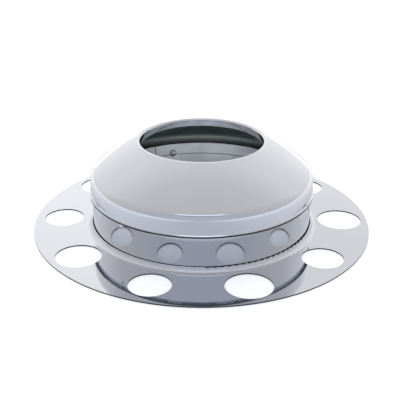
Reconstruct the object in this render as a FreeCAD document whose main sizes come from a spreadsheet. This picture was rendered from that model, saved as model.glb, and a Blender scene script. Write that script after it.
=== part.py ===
import FreeCAD, Part
import math
import os
import Sketcher

# Hub cover for a ten-stud truck hub, with a round opening in its cap for a hubodometer.
# It is two pressings of chromed sheet steel: a flat flange ring with a drawn neck, which has a narrow
# groove round its foot, and a domed cap whose skirt is a close push fit on the neck. Dimples pressed
# outwards in the neck, just below the cap's flared edge, keep the cap from being pushed down too far.
# Millimetres. +Z is the axle's axis, pointing outboard, and z = 0 is the flange's underside.

SIZES = [
    ("hub_sheet", 1.2, "sheet of the flange ring and its neck"),
    ("stud_circle", 285.75, "ten-stud hub-piloted bolt circle, 11 1/4 in"),
    ("stud_pairs", 5, "large and small stud holes alternate round the circle"),
    ("large_hole_diameter", 44.45, "clears a stud nut and its cover, 1 3/4 in"),
    ("small_hole_diameter", 40.0, "clears a bare stud nut"),
    ("rim_margin", 28.575, "stud circle out to the flange's cut edge, 1 1/8 in"),
    ("neck_margin", 31.475, "stud circle in to the outside of the neck"),
    ("neck_fillet", 4.5, "draw radius from the flange's top face up to the lip round the neck's foot"),
    ("foot_gap", 0.7, "groove between that lip and the neck"),
    ("foot_depth", 2.2, "depth of the groove below the crest of the lip"),
    ("neck_reach", 8.2, "how far the neck stands up inside the cap"),
    ("dimple_count", 3, "dimples that stop the cap on the neck"),
    ("dimple_angle", 108.0, "first dimple, in degrees from +X, in line with a small hole"),
    ("dimple_diameter", 7.0, "width of a dimple"),
    ("dimple_drop", 2.5, "middle of a dimple below the cap's lower edge"),
    ("dimple_rise", 0.6, "how far a dimple stands out of the neck"),
    ("cap_sheet", 1.0, "sheet of the cap"),
    ("cap_clearance", 0.2, "gap between the neck and the cap's skirt"),
    ("cap_seat", 34.6, "cap's lower edge above the flange's top face"),
    ("edge_proud", 1.0, "how far the trimmed lower edge stands out of the skirt"),
    ("edge_bend", 1.5, "hollow from the skirt into the flare"),
    ("edge_face", 1.7, "height of the trimmed edge's upright cut face, which sets the flare's slope"),
    ("skirt_height", 14.4, "cap's lower edge to the start of the shoulder"),
    ("shoulder_radius", 12.0, "bend from the skirt into the dome"),
    ("dome_radius", 220.0, "crown of the dome between the shoulder and the lip"),
    ("cap_height", 53.8, "cap's lower edge to the crest of the lip"),
    ("opening_diameter", 122.8, "hubodometer opening, inside the lip"),
    ("lip_radius", 2.5, "bend at the crest of the lip"),
    ("lip_depth", 7.9, "crest down to the lip's cut edge, inside the opening"),
]

# Sizes that several features share, worked out from the sheet.
NECK = "(Sizes.stud_circle / 2 - Sizes.neck_margin)"
LIP = f"({NECK} + Sizes.foot_gap)"  # the groove's outer wall
SKIRT = f"({NECK} + Sizes.cap_clearance + Sizes.cap_sheet)"
SEAT = "(Sizes.hub_sheet + Sizes.cap_seat)"
THROUGH_FLANGE = "(4 * Sizes.hub_sheet)"  # centred on the underside, so it passes both faces

START, END, CENTRE = 1, 2, 3
ROOT = (-1, START)
X_AXIS = -1
NORMAL = FreeCAD.Vector(0, 0, 1)

doc = FreeCAD.newDocument("hub_cover")
sheet = doc.addObject("Spreadsheet::Sheet", "Sizes")
for row, (alias, number, note) in enumerate(SIZES, start=1):
    sheet.set(f"A{row}", note)
    sheet.set(f"B{row}", str(number))
    sheet.setAlias(f"B{row}", alias)
doc.recompute()


def value(expression):
    return float(sheet.evalExpression(expression))


def point(x, y):
    return FreeCAD.Vector(x, y, 0)


def along(origin, angle, distance):
    return (origin[0] + distance * math.cos(angle), origin[1] + distance * math.sin(angle))


def origin_feature(body, role):
    return next(f for f in body.Origin.OriginFeatures if f.Role == role)


def new_body(label):
    body = doc.addObject("PartDesign::Body", label)
    body.Label = label
    return body


def new_sketch(body, name, role):
    sketch = body.newObject("Sketcher::SketchObject", name)
    sketch.AttachmentSupport = [(origin_feature(body, role), "")]
    sketch.MapMode = "FlatFace"
    return sketch


def line(sketch, start, end):
    return sketch.addGeometry(Part.LineSegment(point(*start), point(*end)))


def arc(sketch, centre, radius, start_angle, end_angle):
    circle = Part.Circle(point(*centre), NORMAL, radius)
    return sketch.addGeometry(Part.ArcOfCircle(circle, start_angle, end_angle))


def join(sketch, kind, pairs):
    for one, other in pairs:
        sketch.addConstraint(Sketcher.Constraint(kind, *one, *other))


def level(sketch, kind, lines):
    for one in lines:
        sketch.addConstraint(Sketcher.Constraint(kind, one))


def drive(sketch, kind, places, expression):
    """Adds a dimension that follows the sheet."""
    index = sketch.addConstraint(Sketcher.Constraint(kind, *places, value(expression)))
    sketch.setExpression(f"Constraints[{index}]", expression)


def turn(body, kind, name, sketch, axis):
    """A full turn of a section: kind is Revolution or Groove."""
    feature = body.newObject(f"PartDesign::{kind}", name)
    feature.Profile = sketch
    feature.ReferenceAxis = (sketch, [axis])
    feature.Angle = 360.0
    return feature


def repeat_round(body, name, features, count):
    pattern = body.newObject("PartDesign::PolarPattern", name)
    pattern.Originals = features
    pattern.Axis = (origin_feature(body, "Z_Axis"), [""])
    pattern.Angle = 360.0
    pattern.setExpression("Occurrences", count)
    body.Tip = pattern
    doc.recompute()
    return pattern


def flange_section(body):
    """Flat flange, draw radius, groove and neck as one section, to be turned about Z."""
    rim = value("Sizes.stud_circle / 2 + Sizes.rim_margin")
    neck = value(NECK)
    wall = value("Sizes.hub_sheet")
    top = value(f"{SEAT} + Sizes.neck_reach")
    fillet = value("Sizes.neck_fillet")
    lip = value(LIP)
    spring = wall + fillet  # height where the draw radius turns upright
    floor = spring + wall / 2 - value("Sizes.foot_depth")
    bend = (lip + wall + fillet, spring)
    under_bend = (neck + fillet, spring)
    sketch = new_sketch(body, "flange_section", "XZ_Plane")
    upper = line(sketch, (rim, wall), (bend[0], wall))
    draw = arc(sketch, bend, fillet, math.pi, 1.5 * math.pi)
    crest = arc(sketch, (lip + wall / 2, spring), wall / 2, 0, math.pi)
    groove_wall = line(sketch, (lip, spring), (lip, floor))
    groove_floor = line(sketch, (lip, floor), (neck, floor))
    outside = line(sketch, (neck, floor), (neck, top))
    edge = line(sketch, (neck, top), (neck - wall, top))
    inside = line(sketch, (neck - wall, top), (neck - wall, spring))
    under_draw = arc(sketch, under_bend, fillet + wall, math.pi, 1.5 * math.pi)
    under = line(sketch, (under_bend[0], 0), (rim, 0))
    cut = line(sketch, (rim, 0), (rim, wall))
    join(sketch, "Tangent", [
        ((upper, END), (draw, END)), ((draw, START), (crest, START)), ((crest, END), (groove_wall, START)),
        ((inside, END), (under_draw, START)), ((under_draw, END), (under, START)),
    ])
    join(sketch, "Coincident", [
        ((groove_wall, END), (groove_floor, START)), ((groove_floor, END), (outside, START)),
        ((outside, END), (edge, START)), ((edge, END), (inside, START)),
        ((under, END), (cut, START)), ((cut, END), (upper, START)),
    ])
    join(sketch, "Horizontal", [((crest, START), (crest, END))])
    level(sketch, "Horizontal", (upper, groove_floor, edge, under))
    level(sketch, "Vertical", (groove_wall, outside, inside, cut))
    sketch.addConstraint(Sketcher.Constraint("PointOnObject", cut, START, X_AXIS))
    drive(sketch, "DistanceX", (*ROOT, cut, START), "Sizes.stud_circle / 2 + Sizes.rim_margin")
    drive(sketch, "DistanceY", (cut, START, cut, END), "Sizes.hub_sheet")
    drive(sketch, "DistanceX", (*ROOT, outside, START), NECK)
    drive(sketch, "DistanceY", (*ROOT, outside, END), f"{SEAT} + Sizes.neck_reach")
    drive(sketch, "DistanceX", (edge, END, edge, START), "Sizes.hub_sheet")
    drive(sketch, "Radius", (draw,), "Sizes.neck_fillet")
    drive(sketch, "Radius", (under_draw,), "Sizes.neck_fillet + Sizes.hub_sheet")
    drive(sketch, "Radius", (crest,), "Sizes.hub_sheet / 2")
    drive(sketch, "DistanceX", (*ROOT, groove_wall, START), LIP)
    drive(sketch, "DistanceY", (groove_wall, END, groove_wall, START),
          "Sizes.foot_depth - Sizes.hub_sheet / 2")
    return sketch


def stud_holes(body):
    """A large hole on +X and a small one half a pitch on, both on the stud circle."""
    sketch = new_sketch(body, "stud_hole_pair", "XY_Plane")
    for alias, angle in (("large_hole_diameter", "0"), ("small_hole_diameter", "180 / Sizes.stud_pairs")):
        across = f"Sizes.stud_circle / 2 * cos({angle} * 1 deg)"
        up = f"Sizes.stud_circle / 2 * sin({angle} * 1 deg)"
        circle = Part.Circle(point(value(across), value(up)), NORMAL, value(f"Sizes.{alias} / 2"))
        hole = sketch.addGeometry(circle)
        drive(sketch, "Diameter", (hole,), f"Sizes.{alias}")
        drive(sketch, "DistanceX", (*ROOT, hole, CENTRE), across)
        if value(up) == 0:
            sketch.addConstraint(Sketcher.Constraint("PointOnObject", hole, CENTRE, X_AXIS))
        else:
            drive(sketch, "DistanceY", (*ROOT, hole, CENTRE), up)
    pocket = body.newObject("PartDesign::Pocket", "stud_holes")
    pocket.Profile = sketch
    pocket.Type = "Length"
    pocket.SideType = "Symmetric"
    pocket.setExpression("Length", THROUGH_FLANGE)
    return pocket


def dimple_section(body, name, face):
    """Half of a shallow spherical cap that rises outwards from a face of the neck's wall.

    It is drawn in the upright plane of the first dimple, with x along the radius, and reaches
    a sixth of a sheet back from the face. Turned about its level edge it is the whole dimple."""
    middle = f"{SEAT} - Sizes.dimple_drop"
    back = f"{face} - Sizes.hub_sheet / 6"
    tip = f"{face} + Sizes.dimple_rise"
    sphere = "(Sizes.dimple_diameter ^ 2 / 4 + Sizes.dimple_rise ^ 2) / (2 * Sizes.dimple_rise)"
    height, radius = value(middle), value(sphere)
    centre = (value(tip) - radius, height)
    spread = math.acos((value(back) - centre[0]) / radius)
    sketch = new_sketch(body, name, "XZ_Plane")
    sketch.AttachmentOffset = FreeCAD.Placement(
        FreeCAD.Vector(0, 0, 0), FreeCAD.Rotation(FreeCAD.Vector(0, 1, 0), value("Sizes.dimple_angle")))
    sketch.setExpression("AttachmentOffset.Rotation.Angle", "Sizes.dimple_angle")
    axis = line(sketch, (value(back), height), (value(tip), height))
    crown = arc(sketch, centre, radius, 0, spread)
    flat = line(sketch, along(centre, spread, radius), (value(back), height))
    join(sketch, "Coincident", [
        ((axis, END), (crown, START)), ((crown, END), (flat, START)), ((flat, END), (axis, START)),
    ])
    level(sketch, "Horizontal", (axis,))
    level(sketch, "Vertical", (flat,))
    sketch.addConstraint(Sketcher.Constraint("PointOnObject", crown, CENTRE, axis))
    drive(sketch, "DistanceY", (*ROOT, axis, START), middle)
    drive(sketch, "DistanceX", (*ROOT, axis, START), back)
    drive(sketch, "DistanceX", (*ROOT, axis, END), tip)
    drive(sketch, "Radius", (crown,), sphere)
    return sketch


def cap_section(body):
    """The cap's band of sheet: flared and trimmed edge, skirt, shoulder, dome and turned-down lip.

    z = 0 is the cap's lower edge. The shoulder, dome and lip are arcs tangent to each other, and
    the sheet's inner face runs parallel to its outer one, so their arcs share centres."""
    wall = value("Sizes.cap_sheet")
    skirt = value(SKIRT)
    opening = value("Sizes.opening_diameter / 2")
    lip_end = value("Sizes.cap_height - Sizes.lip_depth")
    shoulder_r = value("Sizes.shoulder_radius")
    dome_r = value("Sizes.dome_radius")
    lip_r = value("Sizes.lip_radius")
    trimmed = value(f"{SKIRT} + Sizes.edge_proud")
    flare_r = value("Sizes.edge_bend")
    face = value("Sizes.edge_face")
    shoulder_c = (skirt - shoulder_r, value("Sizes.skirt_height"))
    lip_c = (opening + lip_r, value("Sizes.cap_height") - lip_r)

    # The dome's centre lies where circles round the two neighbouring centres cross, below the dome.
    to_shoulder, to_lip = dome_r - shoulder_r, dome_r - lip_r
    span = math.dist(lip_c, shoulder_c)
    heading = math.atan2(shoulder_c[1] - lip_c[1], shoulder_c[0] - lip_c[0])
    swing = math.acos((to_lip ** 2 + span ** 2 - to_shoulder ** 2) / (2 * to_lip * span))
    dome_c = along(lip_c, heading - swing, to_lip)
    dome_low = math.atan2(shoulder_c[1] - dome_c[1], shoulder_c[0] - dome_c[0])
    dome_high = math.atan2(lip_c[1] - dome_c[1], lip_c[0] - dome_c[0])

    # The flare is trimmed upright, so its cut face is longer the less the flare leans out.
    lean = math.asin(wall / face)
    run = (trimmed - skirt - flare_r * (1 - math.cos(lean))) / math.sin(lean)
    flare_c = (skirt + flare_r, face + flare_r * math.sin(lean) + run * math.cos(lean))
    flare_end = math.pi + lean

    sketch = new_sketch(body, "cap_section", "XZ_Plane")
    outside = line(sketch, (skirt, flare_c[1]), (skirt, shoulder_c[1]))
    shoulder = arc(sketch, shoulder_c, shoulder_r, 0, dome_low)
    dome = arc(sketch, dome_c, dome_r, dome_low, dome_high)
    lip = arc(sketch, lip_c, lip_r, dome_high, math.pi)
    lip_face = line(sketch, (opening, lip_c[1]), (opening, lip_end))
    lip_edge = line(sketch, (opening, lip_end), (opening + wall, lip_end))
    lip_back = line(sketch, (opening + wall, lip_end), (opening + wall, lip_c[1]))
    under_lip = arc(sketch, lip_c, lip_r - wall, dome_high, math.pi)
    under_dome = arc(sketch, dome_c, dome_r - wall, dome_low, dome_high)
    under_shoulder = arc(sketch, shoulder_c, shoulder_r - wall, 0, dome_low)
    inside = line(sketch, (skirt - wall, shoulder_c[1]), (skirt - wall, flare_c[1]))
    under_flare = arc(sketch, flare_c, flare_r + wall, math.pi, flare_end)
    under_slope = line(sketch, (trimmed, 0), along(flare_c, flare_end, flare_r + wall))
    flare = arc(sketch, flare_c, flare_r, math.pi, flare_end)
    slope = line(sketch, along(flare_c, flare_end, flare_r), (trimmed, face))
    trim = line(sketch, (trimmed, face), (trimmed, 0))
    join(sketch, "Tangent", [
        ((outside, END), (shoulder, START)), ((shoulder, END), (dome, START)),
        ((dome, END), (lip, START)), ((lip, END), (lip_face, START)),
        ((lip_back, END), (under_lip, END)), ((under_lip, START), (under_dome, END)),
        ((under_dome, START), (under_shoulder, END)), ((under_shoulder, START), (inside, START)),
        ((inside, END), (under_flare, START)), ((under_flare, END), (under_slope, END)),
        ((flare, START), (outside, START)), ((flare, END), (slope, START)),
    ])
    join(sketch, "Coincident", [
        ((lip_face, END), (lip_edge, START)), ((lip_edge, END), (lip_back, START)),
        ((slope, END), (trim, START)), ((trim, END), (under_slope, START)),
        ((shoulder, CENTRE), (under_shoulder, CENTRE)), ((dome, CENTRE), (under_dome, CENTRE)),
        ((lip, CENTRE), (under_lip, CENTRE)), ((flare, CENTRE), (under_flare, CENTRE)),
    ])
    join(sketch, "Parallel", [((slope,), (under_slope,))])
    level(sketch, "Horizontal", (lip_edge,))
    level(sketch, "Vertical", (outside, lip_face, lip_back, inside, trim))
    sketch.addConstraint(Sketcher.Constraint("PointOnObject", trim, END, X_AXIS))
    drive(sketch, "DistanceX", (*ROOT, outside, END), SKIRT)
    drive(sketch, "DistanceY", (*ROOT, shoulder, CENTRE), "Sizes.skirt_height")
    drive(sketch, "Radius", (shoulder,), "Sizes.shoulder_radius")
    drive(sketch, "Radius", (dome,), "Sizes.dome_radius")
    drive(sketch, "Radius", (lip,), "Sizes.lip_radius")
    drive(sketch, "DistanceX", (*ROOT, lip_face, START), "Sizes.opening_diameter / 2")
    drive(sketch, "DistanceY", (*ROOT, lip, CENTRE), "Sizes.cap_height - Sizes.lip_radius")
    drive(sketch, "DistanceY", (*ROOT, lip_face, END), "Sizes.cap_height - Sizes.lip_depth")
    drive(sketch, "DistanceX", (lip_edge, START, lip_edge, END), "Sizes.cap_sheet")
    drive(sketch, "Radius", (flare,), "Sizes.edge_bend")
    drive(sketch, "DistanceX", (*ROOT, trim, END), f"{SKIRT} + Sizes.edge_proud")
    drive(sketch, "DistanceY", (trim, END, trim, START), "Sizes.edge_face")
    return sketch


# Flange ring with its neck, stud holes and dimples.
flange_ring = new_body("flange_ring")
turn(flange_ring, "Revolution", "flange_and_neck", flange_section(flange_ring), "V_Axis")
doc.recompute()
repeat_round(flange_ring, "stud_hole_circle", [stud_holes(flange_ring)], "Sizes.stud_pairs")
bump = turn(flange_ring, "Revolution", "dimple_bump",
            dimple_section(flange_ring, "dimple_bump_section", NECK), "Edge1")
dent = turn(flange_ring, "Groove", "dimple_dent",
            dimple_section(flange_ring, "dimple_dent_section", f"({NECK} - Sizes.hub_sheet)"), "Edge1")
repeat_round(flange_ring, "dimple_circle", [bump, dent], "Sizes.dimple_count")

# Domed cap, set over the neck at its seat.
dome_cap = new_body("dome_cap")
turn(dome_cap, "Revolution", "cap_shell", cap_section(dome_cap), "V_Axis")
dome_cap.setExpression("Placement.Base.z", SEAT)
doc.recompute()

pieces = (flange_ring, dome_cap)
failed = [thing.Name for thing in doc.Objects if {"Invalid", "Error"} & set(thing.State)]
if failed:
    raise RuntimeError("not built: " + ", ".join(failed))
for piece in pieces:
    if piece.Shape.isNull() or not piece.Shape.isValid() or len(piece.Shape.Solids) != 1:
        raise RuntimeError("not one valid solid: " + piece.Label)

os.makedirs("parts", exist_ok=True)
for piece in pieces:
    piece.Shape.exportStep(f"parts/{piece.Label}.step")
    print(piece.Label, "volume", round(piece.Shape.Volume, 1), "mm3")
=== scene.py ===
import bpy
import math
from mathutils import Matrix, Vector

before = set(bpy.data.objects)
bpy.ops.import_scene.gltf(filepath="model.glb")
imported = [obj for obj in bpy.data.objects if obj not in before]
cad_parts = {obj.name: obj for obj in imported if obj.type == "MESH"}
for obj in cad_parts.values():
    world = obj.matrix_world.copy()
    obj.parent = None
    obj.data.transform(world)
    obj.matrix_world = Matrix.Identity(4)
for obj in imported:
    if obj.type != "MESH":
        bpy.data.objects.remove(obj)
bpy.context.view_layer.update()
scene = bpy.context.scene
mm = 0.001
print("frame in, nodes:", sorted(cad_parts))


def fromHex(code):
    # sRGB hex to linear RGBA
    steps = [int(code[i:i + 2], 16) / 255 for i in (1, 3, 5)]
    return tuple(s / 12.92 if s <= 0.04045 else ((s + 0.055) / 1.055) ** 2.4 for s in steps) + (1.0,)


def addNode(tree, kind, settings=None, values=None, links=None):
    # one node, its settings, its own socket values and what feeds it
    # a colour mix has its two colours on sockets 6 and 7 and its result on output 2
    node = tree.nodes.new(kind)
    for name, setting in (settings or {}).items():
        setattr(node, name, setting)
    for socket, number in (values or {}).items():
        node.inputs[socket].default_value = number
    for socket, source in (links or {}).items():
        tree.links.new(source, node.inputs[socket])
    return node


def newMaterial(name):
    material = bpy.data.materials.new(name)
    material.use_nodes = True
    material.node_tree.nodes.clear()
    return material, material.node_tree


noiseLow, noiseHigh = 0.3, 0.7      # nearly all of a noise pattern lies between these


# Bright chrome plate on polished steel sheet. A clean cool mirror: the eye gets the room, slightly
# bent by the shallow waves the press leaves, and a little milky where polishing cloths have passed.
polished = {
    "tint": "#DADCE1",
    "tintWorn": "#D3D5DB",
    "roughness": (0.035, 0.075),
    "pressWave": 42 * mm,       # waves left by the press, crest to crest
    "pressDepth": 0.012 * mm,
    "hazePatch": 65 * mm,       # smears from wiping
    "footShadeTone": "#101114",      # painted shade on the neck just above its groove
    "footTop": (6.6 * mm, 6.1 * mm),            # height where the painted shade fades out, height where it is whole
    "footReach": (112.0 * mm, 111.8 * mm),      # the same for the distance from the axis
}


def chromePlate():
    material, tree = newMaterial("bright_chrome_plate_on_polished_steel")
    place = addNode(tree, "ShaderNodeTexCoord").outputs["Object"]
    haze = addNode(tree, "ShaderNodeTexNoise",
                   values={"Scale": 1 / polished["hazePatch"], "Detail": 4.0, "Roughness": 0.6},
                   links={"Vector": place})
    wave = addNode(tree, "ShaderNodeTexNoise",
                   values={"Scale": 1 / polished["pressWave"], "Detail": 1.0, "Roughness": 0.35},
                   links={"Vector": place})
    tint = addNode(tree, "ShaderNodeMix", {"data_type": "RGBA"},
                   {6: fromHex(polished["tint"]), 7: fromHex(polished["tintWorn"])},
                   {"Factor": haze.outputs["Fac"]})
    axes = addNode(tree, "ShaderNodeSeparateXYZ", links={"Vector": place})
    flat = addNode(tree, "ShaderNodeVectorMath", {"operation": "MULTIPLY"}, {1: (1, 1, 0)}, {0: place})
    reach = addNode(tree, "ShaderNodeVectorMath", {"operation": "LENGTH"},
                    links={0: flat.outputs["Vector"]})
    low = addNode(tree, "ShaderNodeMapRange",
                  values={"From Min": polished["footTop"][0], "From Max": polished["footTop"][1]},
                  links={"Value": axes.outputs["Z"]})
    onNeck = addNode(tree, "ShaderNodeMapRange",
                     values={"From Min": polished["footReach"][0], "From Max": polished["footReach"][1]},
                     links={"Value": reach.outputs["Value"]})
    # painted shade: near-black tone on the neck just above the groove
    footShadeMask = addNode(tree, "ShaderNodeMath", {"operation": "MULTIPLY"},
                    links={0: low.outputs["Result"], 1: onNeck.outputs["Result"]})
    skin = addNode(tree, "ShaderNodeMix", {"data_type": "RGBA"}, {7: fromHex(polished["footShadeTone"])},
                   {"Factor": footShadeMask.outputs[0], 6: tint.outputs[2]})
    rough = addNode(tree, "ShaderNodeMapRange",
                    values={"From Min": noiseLow, "From Max": noiseHigh,
                            "To Min": polished["roughness"][0], "To Max": polished["roughness"][1]},
                    links={"Value": haze.outputs["Fac"]})
    bump = addNode(tree, "ShaderNodeBump",
                   values={"Strength": 1.0, "Distance": polished["pressDepth"]},
                   links={"Height": wave.outputs["Fac"]})
    shader = addNode(tree, "ShaderNodeBsdfPrincipled", values={"Metallic": 1.0},
                     links={"Base Color": skin.outputs[2], "Roughness": rough.outputs["Result"],
                            "Normal": bump.outputs["Normal"]})
    addNode(tree, "ShaderNodeOutputMaterial", links={"Surface": shader.outputs["BSDF"]})
    return material


# The back of the ring and the inside of its neck got plate but no polish, so they are satin grey. Thin dark
# lines are painted on it: a level line of painted shade where the lit lower wall ends, painted shade in
# rings round the dimples' rims, and one upright line.
satin = {
    "tint": "#D6D7D9",
    "tintDull": "#C4C6C9",
    "roughness": (0.30, 0.45),
    "drawLine": 1.5 * mm,       # real draw marks are near 0.2 mm; coarser so that they show
    "drawDepth": 0.01 * mm,
    "patch": 30 * mm,
    "paintedShadeLine": "#34373B",
    "lineHalf": 0.5 * mm,       # half width of each painted line
    "lineCore": 0.25 * mm,      # half the width of its darkest part
    "levelLine": 31.5 * mm,
    "uprightAt": 119.0,         # degrees from +X
    "wall": 110.2 * mm,         # inside of the neck, from the axis
    "dimples": (108, 228, 348),             # degrees from +X
    "dimpleRise": 33.3 * mm,
    "dimpleRing": 3.6 * mm,
}


def satinPlate():
    material, tree = newMaterial("satin_plate_on_drawn_steel")
    place = addNode(tree, "ShaderNodeTexCoord").outputs["Object"]
    patch = addNode(tree, "ShaderNodeTexNoise",
                    values={"Scale": 1 / satin["patch"], "Detail": 5.0, "Roughness": 0.6},
                    links={"Vector": place})
    draw = addNode(tree, "ShaderNodeTexNoise",
                   values={"Scale": 1 / satin["drawLine"], "Detail": 2.0},
                   links={"Vector": place})
    tint = addNode(tree, "ShaderNodeMix", {"data_type": "RGBA"},
                   {6: fromHex(satin["tint"]), 7: fromHex(satin["tintDull"])},
                   {"Factor": patch.outputs["Fac"]})
    turns = [math.radians(degrees) for degrees in (satin["uprightAt"], *satin["dimples"])]
    upright, *dimples = [(satin["wall"] * math.cos(turn), satin["wall"] * math.sin(turn))
                         for turn in turns]
    # each mark: the axes that count for it, its middle, and its radius if it is a ring
    marks = [((0, 0, 1), (0, 0, satin["levelLine"]), 0), ((1, 1, 0), (*upright, 0), 0)]
    marks += [((1, 1, 1), (*dimple, satin["dimpleRise"]), satin["dimpleRing"]) for dimple in dimples]
    skin = tint.outputs[2]
    for along, middle, ring in marks:
        flat = addNode(tree, "ShaderNodeVectorMath", {"operation": "MULTIPLY"}, {1: along}, {0: place})
        apart = addNode(tree, "ShaderNodeVectorMath", {"operation": "DISTANCE"}, {1: middle},
                        {0: flat.outputs["Vector"]})
        apart = addNode(tree, "ShaderNodeMath", {"operation": "SUBTRACT"}, {1: ring},
                        {0: apart.outputs["Value"]})
        apart = addNode(tree, "ShaderNodeMath", {"operation": "ABSOLUTE"}, links={0: apart.outputs[0]})
        share = addNode(tree, "ShaderNodeMapRange",
                        values={"From Min": satin["lineHalf"], "From Max": satin["lineCore"]},
                        links={"Value": apart.outputs[0]})
        # painted shade along each line
        marked = addNode(tree, "ShaderNodeMix", {"data_type": "RGBA"}, {7: fromHex(satin["paintedShadeLine"])},
                         {"Factor": share.outputs["Result"], 6: skin})
        skin = marked.outputs[2]
    rough = addNode(tree, "ShaderNodeMapRange",
                    values={"From Min": noiseLow, "From Max": noiseHigh,
                            "To Min": satin["roughness"][0], "To Max": satin["roughness"][1]},
                    links={"Value": patch.outputs["Fac"]})
    bump = addNode(tree, "ShaderNodeBump",
                   values={"Strength": 1.0, "Distance": satin["drawDepth"]},
                   links={"Height": draw.outputs["Fac"]})
    shader = addNode(tree, "ShaderNodeBsdfPrincipled", values={"Metallic": 1.0},
                     links={"Base Color": skin, "Roughness": rough.outputs["Result"],
                            "Normal": bump.outputs["Normal"]})
    addNode(tree, "ShaderNodeOutputMaterial", links={"Surface": shader.outputs["BSDF"]})
    return material


# Inside of the cap: spun steel left with its dark drawing film, so nearly black with a green cast. A paler
# ring painted where the skirt starts to bend is a painted highlight, and the darker band painted under it
# is painted shade.
film = {
    "tint": "#616F6D",
    "tintThin": "#7A8784",
    "metallic": 0.5,            # the steel shows through about half
    "roughness": (0.15, 0.25),
    "patch": 18 * mm,
    "paintedLightBands": (                  # painted highlight then painted shade: height where each tone sets in, height where it is whole, tone
        (55 * mm, 53.5 * mm, "#8A918C"),
        (54 * mm, 45.5 * mm, "#1C2423"),
    ),
}


def darkFilm():
    material, tree = newMaterial("dark_drawing_film_on_spun_steel")
    place = addNode(tree, "ShaderNodeTexCoord").outputs["Object"]
    patch = addNode(tree, "ShaderNodeTexNoise",
                    values={"Scale": 1 / film["patch"], "Detail": 5.0, "Roughness": 0.6},
                    links={"Vector": place})
    tint = addNode(tree, "ShaderNodeMix", {"data_type": "RGBA"},
                   {6: fromHex(film["tint"]), 7: fromHex(film["tintThin"])},
                   {"Factor": patch.outputs["Fac"]})
    skin = tint.outputs[2]
    axes = addNode(tree, "ShaderNodeSeparateXYZ", links={"Vector": place})
    # painted highlight at the bend, painted shade below it
    for start, whole, tone in film["paintedLightBands"]:
        share = addNode(tree, "ShaderNodeMapRange", {"interpolation_type": "SMOOTHSTEP"},
                        {"From Min": start, "From Max": whole}, {"Value": axes.outputs["Z"]})
        band = addNode(tree, "ShaderNodeMix", {"data_type": "RGBA"}, {7: fromHex(tone)},
                       {"Factor": share.outputs["Result"], 6: skin})
        skin = band.outputs[2]
    rough = addNode(tree, "ShaderNodeMapRange",
                    values={"From Min": noiseLow, "From Max": noiseHigh,
                            "To Min": film["roughness"][0], "To Max": film["roughness"][1]},
                    links={"Value": patch.outputs["Fac"]})
    shader = addNode(tree, "ShaderNodeBsdfPrincipled", values={"Metallic": film["metallic"]},
                     links={"Base Color": skin, "Roughness": rough.outputs["Result"]})
    addNode(tree, "ShaderNodeOutputMaterial", links={"Surface": shader.outputs["BSDF"]})
    return material


# Sheared rims: plated over the torn face of the cut, so grey and rough next to the mirror.
# The same dark finish on the cap's trimmed edge is painted shade for the black gap under its flare.
shearedAndShade = {
    "tint": "#54585E",
    "tintTorn": "#1E2023",
    "roughness": (0.28, 0.5),
    "tear": 0.8 * mm,           # tear marks are near 0.3 mm; coarser so that they show
}


def shearedEdgeAndShade():
    material, tree = newMaterial("sheared_steel_edge_and_painted_shade")
    place = addNode(tree, "ShaderNodeTexCoord").outputs["Object"]
    tear = addNode(tree, "ShaderNodeTexNoise",
                   values={"Scale": 1 / shearedAndShade["tear"], "Detail": 2.0},
                   links={"Vector": place})
    tint = addNode(tree, "ShaderNodeMix", {"data_type": "RGBA"},
                   {6: fromHex(shearedAndShade["tint"]), 7: fromHex(shearedAndShade["tintTorn"])},
                   {"Factor": tear.outputs["Fac"]})
    rough = addNode(tree, "ShaderNodeMapRange",
                    values={"From Min": noiseLow, "From Max": noiseHigh,
                            "To Min": shearedAndShade["roughness"][0], "To Max": shearedAndShade["roughness"][1]},
                    links={"Value": tear.outputs["Fac"]})
    shader = addNode(tree, "ShaderNodeBsdfPrincipled", values={"Metallic": 1.0},
                     links={"Base Color": tint.outputs[2], "Roughness": rough.outputs["Result"]})
    addNode(tree, "ShaderNodeOutputMaterial", links={"Surface": shader.outputs["BSDF"]})
    return material


# Painted shade: a near-black fill in the narrow groove, so the shadowed groove reads as a line.
grooveShadePaint = {
    "tint": "#0C0D10",
    "tintPaler": "#1E2024",
    "roughness": (0.45, 0.75),
    "blotch": 2.5 * mm,
}


def grooveShadeFill():
    material, tree = newMaterial("painted_shade_in_groove")
    place = addNode(tree, "ShaderNodeTexCoord").outputs["Object"]
    blotch = addNode(tree, "ShaderNodeTexNoise",
                    values={"Scale": 1 / grooveShadePaint["blotch"], "Detail": 3.0},
                    links={"Vector": place})
    tint = addNode(tree, "ShaderNodeMix", {"data_type": "RGBA"},
                   {6: fromHex(grooveShadePaint["tint"]), 7: fromHex(grooveShadePaint["tintPaler"])},
                   {"Factor": blotch.outputs["Fac"]})
    rough = addNode(tree, "ShaderNodeMapRange",
                    values={"From Min": noiseLow, "From Max": noiseHigh,
                            "To Min": grooveShadePaint["roughness"][0], "To Max": grooveShadePaint["roughness"][1]},
                    links={"Value": blotch.outputs["Fac"]})
    shader = addNode(tree, "ShaderNodeBsdfPrincipled",
                     links={"Base Color": tint.outputs[2], "Roughness": rough.outputs["Result"]})
    addNode(tree, "ShaderNodeOutputMaterial", links={"Surface": shader.outputs["BSDF"]})
    return material


mirror = chromePlate()
dull = satinPlate()
dark = darkFilm()
cut = shearedEdgeAndShade()
grooveShade = grooveShadeFill()
print("five finishes made")


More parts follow.
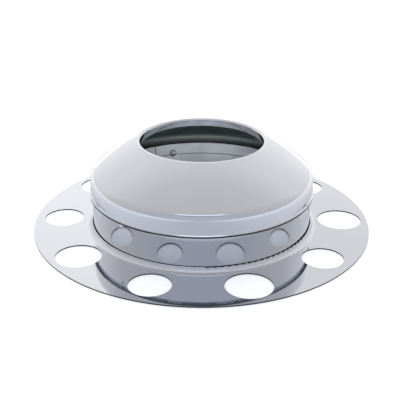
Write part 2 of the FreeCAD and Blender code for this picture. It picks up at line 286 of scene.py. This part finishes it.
# Which faces of a sheet pressing show their polished side: those that look away from a ring drawn
# under the sheet (ringUnder, its radius and height). The rest are plain, apart from a few places.
flangeRing = {
    "node": "flange_ring",
    "ringUnder": (100 * mm, -20 * mm),
    "finishes": {"polished": mirror, "plain": dull, "cut": cut, "shadedGroove": grooveShade},
    "sheetTop": 1.3 * mm,
    "neckTop": 43.9 * mm,
    "groove": (111.3 * mm, 112.3 * mm, 3 * mm, 5.6 * mm),   # round the neck's foot: reach, then heights
}
domeCap = {
    "node": "dome_cap",
    "ringUnder": (85 * mm, 55 * mm),
    "finishes": {"polished": mirror, "plain": dark, "cut": cut},
    "lipBottom": 81.9 * mm,
    "lipOuter": 63 * mm,
    "trimmed": (113.5 * mm, 37.6 * mm),     # reach and height of the flared edge's cut face
    "flareTop": 39.3 * mm,                  # the polish goes round under the flare
}
uprightLimit, levelLimit = 0.2, 0.9         # a normal's Z: less is an upright face, more a level one


def looksAway(face, ringUnder):
    radius = math.hypot(face.center.x, face.center.y)
    outward = (face.center.x * face.normal.x + face.center.y * face.normal.y) / radius
    return (radius - ringUnder[0]) * outward + (face.center.z - ringUnder[1]) * face.normal.z > 0


def ringPlace(face):
    # the finish of a cut edge or the groove, None for the rest
    reach = math.hypot(face.center.x, face.center.y)
    upright = abs(face.normal.z) < uprightLimit
    facesUp = face.normal.z > levelLimit
    sheetRim = upright and face.center.z < flangeRing["sheetTop"]
    freeEdge = facesUp and face.center.z > flangeRing["neckTop"]
    if sheetRim or freeEdge:
        return "cut"
    inner, outer, low, high = flangeRing["groove"]
    inGroove = inner < reach < outer and low < face.center.z < high
    # the groove's faces get the painted shade
    return "shadedGroove" if inGroove and (facesUp or upright) else None


def capPlace(face):
    # the finish of a cut edge or the underside of the flare, None for the rest
    reach = math.hypot(face.center.x, face.center.y)
    lipEnd = reach < domeCap["lipOuter"] and face.center.z < domeCap["lipBottom"]
    trimmed = reach > domeCap["trimmed"][0] and face.center.z < domeCap["trimmed"][1]
    # the trimmed face's dark cut finish is also painted shade for the gap under the flare
    if (lipEnd and face.normal.z < -levelLimit) or (trimmed and abs(face.normal.z) < uprightLimit):
        return "cut"
    return "polished" if face.center.z < domeCap["flareTop"] else None


for settings, placeFor in ((flangeRing, ringPlace), (domeCap, capPlace)):
    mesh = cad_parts[settings["node"]].data
    names = list(settings["finishes"])
    mesh.materials.clear()
    for name in names:
        mesh.materials.append(settings["finishes"][name])
    counts = dict.fromkeys(names, 0)
    for face in mesh.polygons:
        name = placeFor(face) or ("polished" if looksAway(face, settings["ringUnder"]) else "plain")
        face.material_index = names.index(name)
        counts[name] += 1
    print(settings["node"], "faces:", counts)


# White paper sweep under the part, burnt out to plain white where the camera looks straight at it
floorSheet = {
    "radius": 6.0,              # metres
    "sides": 96,
    "drop": 0.3 * mm,           # just clear of the ring's underside
    # painted shade: the paper is cooler and a little darker in front of the part than behind it
    "tint": "#E8EDF4",
    "tintLitBehind": "#F3F1F2",
    "behind": (0, 0.12),        # metres back from the part's middle where the tint changes
    "grain": 3 * mm,
    "roughness": (0.75, 0.9),
    "specular": 0.2,
    "burnOut": 0.45,
    "paintedGlows": (                  # painted light: the sweep glows more behind and beside the part: axis, from, to, gain
        ("Y", 0.1, 0.9, 0.40),
        ("X", 0.03, 0.3, 0.30),
    ),
}
floorMaterial, floorTree = newMaterial("white_paper_sweep")
paperPlace = addNode(floorTree, "ShaderNodeTexCoord").outputs["Object"]
paperGrain = addNode(floorTree, "ShaderNodeTexNoise",
                     values={"Scale": 1 / floorSheet["grain"], "Detail": 2.0}, links={"Vector": paperPlace})
paperRough = addNode(floorTree, "ShaderNodeMapRange",
                     values={"To Min": floorSheet["roughness"][0], "To Max": floorSheet["roughness"][1]},
                     links={"Value": paperGrain.outputs["Fac"]})
paperAxes = addNode(floorTree, "ShaderNodeSeparateXYZ", links={"Vector": paperPlace})
behind = addNode(floorTree, "ShaderNodeMapRange", {"interpolation_type": "SMOOTHSTEP"},
                 {"From Min": floorSheet["behind"][0], "From Max": floorSheet["behind"][1]},
                 {"Value": paperAxes.outputs["Y"]})
paperTint = addNode(floorTree, "ShaderNodeMix", {"data_type": "RGBA"},
                    {6: fromHex(floorSheet["tint"]), 7: fromHex(floorSheet["tintLitBehind"])},
                    {"Factor": behind.outputs["Result"]})
paperRay = addNode(floorTree, "ShaderNodeLightPath")
paperGlow = addNode(floorTree, "ShaderNodeMath", {"operation": "MULTIPLY"}, {1: floorSheet["burnOut"]},
                    {0: paperRay.outputs["Is Camera Ray"]})
for axis, near, far, gain in floorSheet["paintedGlows"]:
    out = paperAxes.outputs[axis]
    if axis == "X":             # beside the part means both sides
        out = addNode(floorTree, "ShaderNodeMath", {"operation": "ABSOLUTE"}, links={0: out}).outputs[0]
    more = addNode(floorTree, "ShaderNodeMapRange", {"interpolation_type": "SMOOTHSTEP"},
                   {"From Min": near, "From Max": far, "To Max": gain}, {"Value": out})
    paperGlow = addNode(floorTree, "ShaderNodeMath", {"operation": "ADD"},
                        links={0: paperGlow.outputs[0], 1: more.outputs["Result"]})
paperShader = addNode(floorTree, "ShaderNodeBsdfPrincipled",
                      values={"Specular IOR Level": floorSheet["specular"], "Emission Color": (1, 1, 1, 1)},
                      links={"Base Color": paperTint.outputs[2], "Roughness": paperRough.outputs["Result"],
                             "Emission Strength": paperGlow.outputs[0]})
addNode(floorTree, "ShaderNodeOutputMaterial", links={"Surface": paperShader.outputs["BSDF"]})
bpy.ops.mesh.primitive_circle_add(vertices=floorSheet["sides"], radius=floorSheet["radius"],
                                  fill_type="NGON", location=(0, 0, -floorSheet["drop"]))
floor = bpy.context.object
floor.name = "paper_floor"
floor.data.materials.append(floorMaterial)
print("floor laid")


# Light tent: brightest behind the part, dimmer overhead and dimmest and cooler in front
tent = {
    "brightWall": (0, 10),      # degrees: azimuth from straight behind, height
    "byAngle": ((0, 1.10), (28, 1.06), (48, 0.93), (61, 0.88),
                (80, 0.72), (100, 0.66), (130, 0.70), (180, 0.74)),     # degrees from it, brightness
    "rampTop": 2.0,             # brightness at the top of the ramp, whose own colours stop at one
    "wallTint": "#FFFFFF",
    "frontTint": "#E8EDF8",
    "tintFrom": (95, 130),      # degrees from the bright wall where the tint changes
    "lobes": (                  # patches: azimuth from straight behind, height, inner and outer angle, gain
        (-9, 22, 2, 12, 0.13),
        (-10, 31, 2, 9, -0.06),
        (9, 31, 2, 10, -0.17),
        (0, 44, 5, 15, 0.45),
    ),
    "strips": (                 # in front: height, half width, gain, half reach to the sides and fade
        (47, 4, 0.75, 22, 14),
        (38, 3, -0.25, 8, 24),
    ),
    "stripEdge": (1.5, 0.5),    # in half widths, where a strip fades out and where it is whole
}
world = bpy.data.worlds.new("light_tent")
scene.world = world
world.use_nodes = True
worldTree = world.node_tree
worldTree.nodes.clear()
look = addNode(worldTree, "ShaderNodeTexCoord").outputs["Generated"]
axes = addNode(worldTree, "ShaderNodeSeparateXYZ", links={"Vector": look})


def aimAt(azimuth, rise):
    az, el = math.radians(azimuth), math.radians(rise)
    return (math.sin(az) * math.cos(el), math.cos(az) * math.cos(el), math.sin(el))


away = addNode(worldTree, "ShaderNodeVectorMath", {"operation": "DOT_PRODUCT"},
               {1: aimAt(*tent["brightWall"])}, {0: look})
away = addNode(worldTree, "ShaderNodeMath", {"operation": "ARCCOSINE"}, links={0: away.outputs["Value"]})
awayShare = addNode(worldTree, "ShaderNodeMapRange", values={"From Max": math.pi},
                    links={"Value": away.outputs[0]})
ramp = addNode(worldTree, "ShaderNodeValToRGB", links={"Fac": awayShare.outputs["Result"]})
stops = ramp.color_ramp.elements
while len(stops) < len(tent["byAngle"]):
    stops.new(0.5)              # anywhere, since all are placed next
for stop, (degrees, brightness) in zip(stops, tent["byAngle"]):
    share = brightness / tent["rampTop"]
    stop.position = degrees / 180
    stop.color = (share, share, share, 1)
level = addNode(worldTree, "ShaderNodeMath", {"operation": "MULTIPLY"}, {1: tent["rampTop"]},
                {0: ramp.outputs["Color"]}).outputs[0]
for azimuth, rise, inner, outer, gain in tent["lobes"]:
    near = addNode(worldTree, "ShaderNodeVectorMath", {"operation": "DOT_PRODUCT"},
                   {1: aimAt(azimuth, rise)}, {0: look})
    lobe = addNode(worldTree, "ShaderNodeMapRange", {"interpolation_type": "SMOOTHSTEP"},
                   {"From Min": math.cos(math.radians(outer)), "From Max": math.cos(math.radians(inner)),
                    "To Max": gain}, {"Value": near.outputs["Value"]})
    level = addNode(worldTree, "ShaderNodeMath", {"operation": "ADD"},
                    links={0: level, 1: lobe.outputs["Result"]}).outputs[0]
height = addNode(worldTree, "ShaderNodeMath", {"operation": "ARCSINE"}, links={0: axes.outputs["Z"]})
turn = addNode(worldTree, "ShaderNodeMath", {"operation": "ARCTAN2"},
               links={0: axes.outputs["X"], 1: axes.outputs["Y"]})
offAxis = addNode(worldTree, "ShaderNodeMath", {"operation": "ABSOLUTE"}, links={0: turn.outputs[0]})
fadesOut, isWhole = tent["stripEdge"]
for rise, half, gain, reach, soft in tent["strips"]:
    offLevel = addNode(worldTree, "ShaderNodeMath", {"operation": "SUBTRACT"},
                       {1: math.radians(rise)}, {0: height.outputs[0]})
    offLevel = addNode(worldTree, "ShaderNodeMath", {"operation": "ABSOLUTE"},
                       links={0: offLevel.outputs[0]})
    band = addNode(worldTree, "ShaderNodeMapRange", {"interpolation_type": "SMOOTHSTEP"},
                   {"From Min": math.radians(half * fadesOut), "From Max": math.radians(half * isWhole),
                    "To Max": gain}, {"Value": offLevel.outputs[0]})
    sides = addNode(worldTree, "ShaderNodeMapRange", {"interpolation_type": "SMOOTHSTEP"},
                    {"From Min": math.radians(180 - reach - soft), "From Max": math.radians(180 - reach)},
                    {"Value": offAxis.outputs[0]})
    strip = addNode(worldTree, "ShaderNodeMath", {"operation": "MULTIPLY"},
                    links={0: band.outputs["Result"], 1: sides.outputs["Result"]})
    level = addNode(worldTree, "ShaderNodeMath", {"operation": "ADD"},
                    links={0: level, 1: strip.outputs[0]}).outputs[0]
frontShare = addNode(worldTree, "ShaderNodeMapRange", {"interpolation_type": "SMOOTHSTEP"},
                     {"From Min": math.radians(tent["tintFrom"][0]),
                      "From Max": math.radians(tent["tintFrom"][1])}, {"Value": away.outputs[0]})
tentTint = addNode(worldTree, "ShaderNodeMix", {"data_type": "RGBA"},
                   {6: fromHex(tent["wallTint"]), 7: fromHex(tent["frontTint"])},
                   {"Factor": frontShare.outputs["Result"]})
glow = addNode(worldTree, "ShaderNodeBackground", links={"Color": tentTint.outputs[2], "Strength": level})
plain = addNode(worldTree, "ShaderNodeBackground", values={"Color": (1, 1, 1, 1), "Strength": 1.0})
seen = addNode(worldTree, "ShaderNodeLightPath")
backdrop = addNode(worldTree, "ShaderNodeMixShader",
                   links={0: seen.outputs["Is Camera Ray"], 1: glow.outputs[0], 2: plain.outputs[0]})
addNode(worldTree, "ShaderNodeOutputWorld", links={"Surface": backdrop.outputs[0]})
print("light tent up")


# Two narrow lamps light the paper inside the neck through the opening, one from straight above and one
# from high behind for the front of it
lamps = {
    "fade": 0.5,                # share of the cone that is its soft edge
    "bulb": 20 * mm,
    "places": {                 # metres, and the cone's width in degrees: its pool stays inside the opening
        "over": {"stand": (0, 0, 1.6), "aim": (0, 0, 0), "watts": 98.0, "cone": 4.6},
        "behind": {"stand": (0, 1.03, 1.31), "aim": (0, 0, 0.086), "watts": 90.0, "cone": 3.6},
    },
}
for name, settings in lamps["places"].items():
    lampData = bpy.data.lights.new("lamp_" + name, "SPOT")
    lampData.energy = settings["watts"]
    lampData.spot_size = math.radians(settings["cone"])
    lampData.spot_blend = lamps["fade"]
    lampData.shadow_soft_size = lamps["bulb"]
    lamp = bpy.data.objects.new("lamp_" + name, lampData)
    lamp.location = settings["stand"]
    lamp.rotation_euler = (Vector(settings["aim"]) - lamp.location).to_track_quat("-Z", "Y").to_euler()
    lamp.visible_glossy = False         # no lamp shows in the chrome
    scene.collection.objects.link(lamp)
print("lamps hung")


# Camera at the photo's stand: about 25 degrees above the part, long lens
view = {
    "stand": (8.65 * mm, -741.55 * mm, 360.6 * mm),
    "turn": 0.79,               # degrees, as the next two
    "down": 24.53,
    "roll": 0.14,
    "lens": 71.09,
    "sensor": 36.0,
    "nearest": 20 * mm,
    "glossyBounces": 12,        # chrome faces chrome under the cap's edge
}
cameraData = bpy.data.cameras.new("stand_camera")
cameraData.lens = view["lens"]
cameraData.sensor_width = view["sensor"]
cameraData.clip_start = view["nearest"]
camera = bpy.data.objects.new("stand_camera", cameraData)
scene.collection.objects.link(camera)
camera.matrix_world = (Matrix.Translation(view["stand"])
                       @ Matrix.Rotation(math.radians(view["turn"]), 4, "Z")
                       @ Matrix.Rotation(math.radians(90 - view["down"]), 4, "X")
                       @ Matrix.Rotation(math.radians(view["roll"]), 4, "Z"))
scene.camera = camera
scene.view_settings.view_transform = "Standard"
scene.cycles.glossy_bounces = view["glossyBounces"]
print("camera set")
